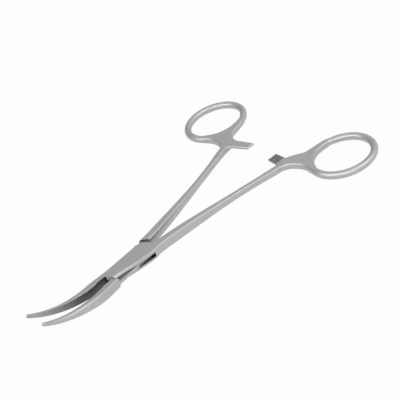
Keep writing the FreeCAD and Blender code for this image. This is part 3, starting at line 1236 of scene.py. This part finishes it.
@dataclass
class MaleHalf(Half):
    """Half with the tongue, its jaw on -Y and its handle on +Y."""

    name: str = "male_body"
    body: str = "male"
    node: str = "male_half"
    turn: float = 4.6
    jaw_side: int = -1
    serration_offset: float = 0.34
    unpolished_and_shaded_from: float = 1.0
    pin_clearance: float = 0.05
    front_space: tuple[Place, Place] = ((-40.0, -5.0, -2.4), (12.0, 5.0, 11.0))
    rear_space: tuple[Place, Place] = ((4.0, -4.0, -2.4), (103.0, 35.5, 2.4))

    def forms(self) -> list[Form]:
        """Distances to the forms that make up the half."""
        return [self.front_distance, self.handle_distance]

    def build(self, looks: Looks) -> None:
        """Build the half and dress it.

        Args:
            looks: The finishes.
        """
        half = solid(self.name, *skin(self.front_distance, *self.front_space, self.step))
        radius = self.slot_radius - self.tongue_end_clearance
        keep = self.zone(radius, 0.0, self.slot_height - 2 * self.tongue_clearance, self.tongue_side)
        carve(keep, Carving.JOIN, self.area_beyond(self.front_seam_x, self.front_seam_gap, -self.jaw.face_y))
        carve(half, Carving.CROP, keep)
        rear = solid("rear", *skin(self.handle_distance, *self.rear_space, self.step))
        behind = self.spin(self.area_beyond(self.rear_seam_x, self.rear_seam_gap, self.plate.rear_width))
        carve(rear, Carving.CUT, *self.teeth(looks.steel))
        carve(rear, Carving.CROP, behind)
        carve(half, Carving.JOIN, rear)
        carve(half, Carving.CUT, self.pin_bore(), self.relief(), self.serrations(looks.steel))
        self.finish(half, looks)


@dataclass
class Studio:
    """The white table, the soft lamps and the camera at the photograph's angle.

    Lengths are in millimetres, angles in degrees, and picture places in pixels.
    """

    azimuth: float = -45.03
    elevation: float = 34.98
    roll: float = -11.05
    distance: float = 264.65
    focal_pixels: float = 820.0
    picture: float = 400.0
    sensor: float = 36.0
    clip_start: float = 10.0
    pivot_height: float = 1.9
    pivot_seen_at: Spot = (129.06, 265.16)
    table_size: float = 4000.0
    table_white: float = 0.8
    glow_share: float = 0.96
    gloss_share: float = 0.4
    bright_towards: Place = (0.0, -0.9, 0.44)
    sky: tuple = ((0.0, 0.05), (0.25, 0.12), (0.365, 0.375), (0.6, 0.5), (0.9, 0.68))
    lamps_face: Place = (40.0, 0.0, 0.0)
    key_at: Place = (-472.0, -351.0, 560.0)
    key_size: Spot = (2000.0, 420.0)
    key_power: float = 3.3
    edge_at: Place = (520.0, -480.0, 550.0)
    edge_size: Spot = (600.0, 500.0)
    edge_power: float = 0.7

    def add_camera(self) -> None:
        """Place the camera so that the lock's pivot falls where the photograph has it."""
        az, el, roll = (math.radians(v) for v in (self.azimuth, self.elevation, self.roll))
        back = Vector((math.sin(az) * math.cos(el), -math.cos(az) * math.cos(el), math.sin(el)))
        level = (-back).cross(Vector((0.0, 0.0, 1.0))).normalized()
        upright = level.cross(-back)
        right = math.cos(roll) * level + math.sin(roll) * upright
        up = -math.sin(roll) * level + math.cos(roll) * upright
        across = (self.pivot_seen_at[0] - self.picture / 2) / self.focal_pixels * self.distance
        above = -(self.pivot_seen_at[1] - self.picture / 2) / self.focal_pixels * self.distance
        eye = Vector((0.0, 0.0, self.pivot_height)) + self.distance * back - across * right - above * up
        data = bpy.data.cameras.new("camera")
        data.sensor_width = self.sensor
        data.lens = self.focal_pixels * self.sensor / self.picture
        data.clip_start = self.clip_start * MM
        camera = bpy.data.objects.new("camera", data)
        turn = Matrix((right, up, back)).transposed().to_4x4()
        camera.matrix_world = Matrix.Translation(eye * MM) @ turn
        bpy.context.collection.objects.link(camera)
        bpy.context.scene.camera = camera

    def background_share(self, sketch: Sketch) -> NodeSocket:
        """Give the share of the plain white background in what a ray sees.

        Args:
            sketch: Adds the nodes of the material or the world.

        Returns:
            The socket: 1 for the camera and through glass, less in reflections, 0 for light.
        """
        path = sketch.add("ShaderNodeLightPath", {}).outputs
        gloss = sketch.sums("MULTIPLY", path["Is Glossy Ray"], self.gloss_share)
        seen = sketch.sums("MAXIMUM", path["Is Camera Ray"], gloss)
        return sketch.sums("MAXIMUM", seen, path["Is Transmission Ray"])

    def add_table(self) -> None:
        """Lay the white table under the forceps."""
        half = self.table_size / 2 * MM
        corners = [(-half, -half, 0), (half, -half, 0), (half, half, 0), (-half, half, 0)]
        table = solid("table", corners, [(0, 1, 2, 3)])
        material, sketch = node_material("white_table")
        share = sketch.sums("MULTIPLY", self.background_share(sketch), self.glow_share)
        plain = sketch.add("ShaderNodeBsdfDiffuse", {"Color": (self.table_white,) * 3 + (1.0,)})
        glow = sketch.add("ShaderNodeEmission", {})
        mix = sketch.add("ShaderNodeMixShader", {"Fac": share, 1: plain.outputs[0], 2: glow.outputs[0]})
        sketch.add("ShaderNodeOutputMaterial", {"Surface": mix.outputs[0]})
        table.data.materials.append(material)

    def add_lamp(self, name: str, at: Place, size: Spot, power: float) -> None:
        """Hang a soft lamp that faces the forceps.

        Args:
            name: The lamp's name.
            at: Where it hangs, in millimetres.
            size: Its width and height, in millimetres.
            power: Its power in watts.
        """
        data = bpy.data.lights.new(name, "AREA")
        data.shape = "RECTANGLE"
        data.size = size[0] * MM
        data.size_y = size[1] * MM
        data.energy = power
        lamp = bpy.data.objects.new(name, data)
        place = Vector(at) * MM
        turn = (place - Vector(self.lamps_face) * MM).to_track_quat("Z", "Y").to_matrix()
        lamp.matrix_world = Matrix.Translation(place) @ turn.to_4x4()
        bpy.context.collection.objects.link(lamp)

    def light(self) -> None:
        """Light the table softly from above and leave the room around it grey."""
        world = bpy.data.worlds.new("room")
        world.use_nodes = True
        world.node_tree.nodes.clear()
        sketch = Sketch(world.node_tree)
        heading = sketch.add("ShaderNodeTexCoord", {}).outputs["Generated"]
        both = {0: heading, 1: self.bright_towards}
        along = sketch.add("ShaderNodeVectorMath", both, operation="DOT_PRODUCT").outputs["Value"]
        sky = sketch.add("ShaderNodeValToRGB", {"Fac": sketch.sums("MULTIPLY_ADD", along, 0.5, 0.5)})
        while len(sky.color_ramp.elements) < len(self.sky):
            sky.color_ramp.elements.new(0.5)
        for stop, (at, level) in zip(sky.color_ramp.elements, self.sky):
            stop.position = at
            stop.color = (level, level, level, 1.0)
        room = sketch.add("ShaderNodeBackground", {"Color": sky.outputs["Color"]})
        white = sketch.add("ShaderNodeBackground", {"Color": (1.0, 1.0, 1.0, 1.0)})
        mix = sketch.add("ShaderNodeMixShader", {
            "Fac": self.background_share(sketch), 1: room.outputs[0], 2: white.outputs[0]})
        sketch.add("ShaderNodeOutputWorld", {"Surface": mix.outputs[0]})
        bpy.context.scene.world = world
        self.add_lamp("key", self.key_at, self.key_size, self.key_power)
        self.add_lamp("edge", self.edge_at, self.edge_size, self.edge_power)

    def build(self) -> None:
        """Set up the whole studio."""
        bpy.context.scene.view_settings.view_transform = "Standard"
        self.add_camera()
        self.add_table()
        self.light()


def main() -> None:
    """Build the studio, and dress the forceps."""
    logging.basicConfig(level=logging.INFO, format="%(name)s: %(message)s")
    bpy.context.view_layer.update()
    Studio().build()
    looks = Looks(SatinSteel().make(), ShadedGrippingFace().make(), CutSteelAndShade().make())
    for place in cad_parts["lock_pin"].material_slots:
        place.material = looks.steel
    LOG.info("lock_pin: the CAD piece, in satin steel")
    step = NET_STEP
    FemaleHalf(step=step).build(looks)
    MaleHalf(step=step).build(looks)


if __name__ == "__main__":
    main()
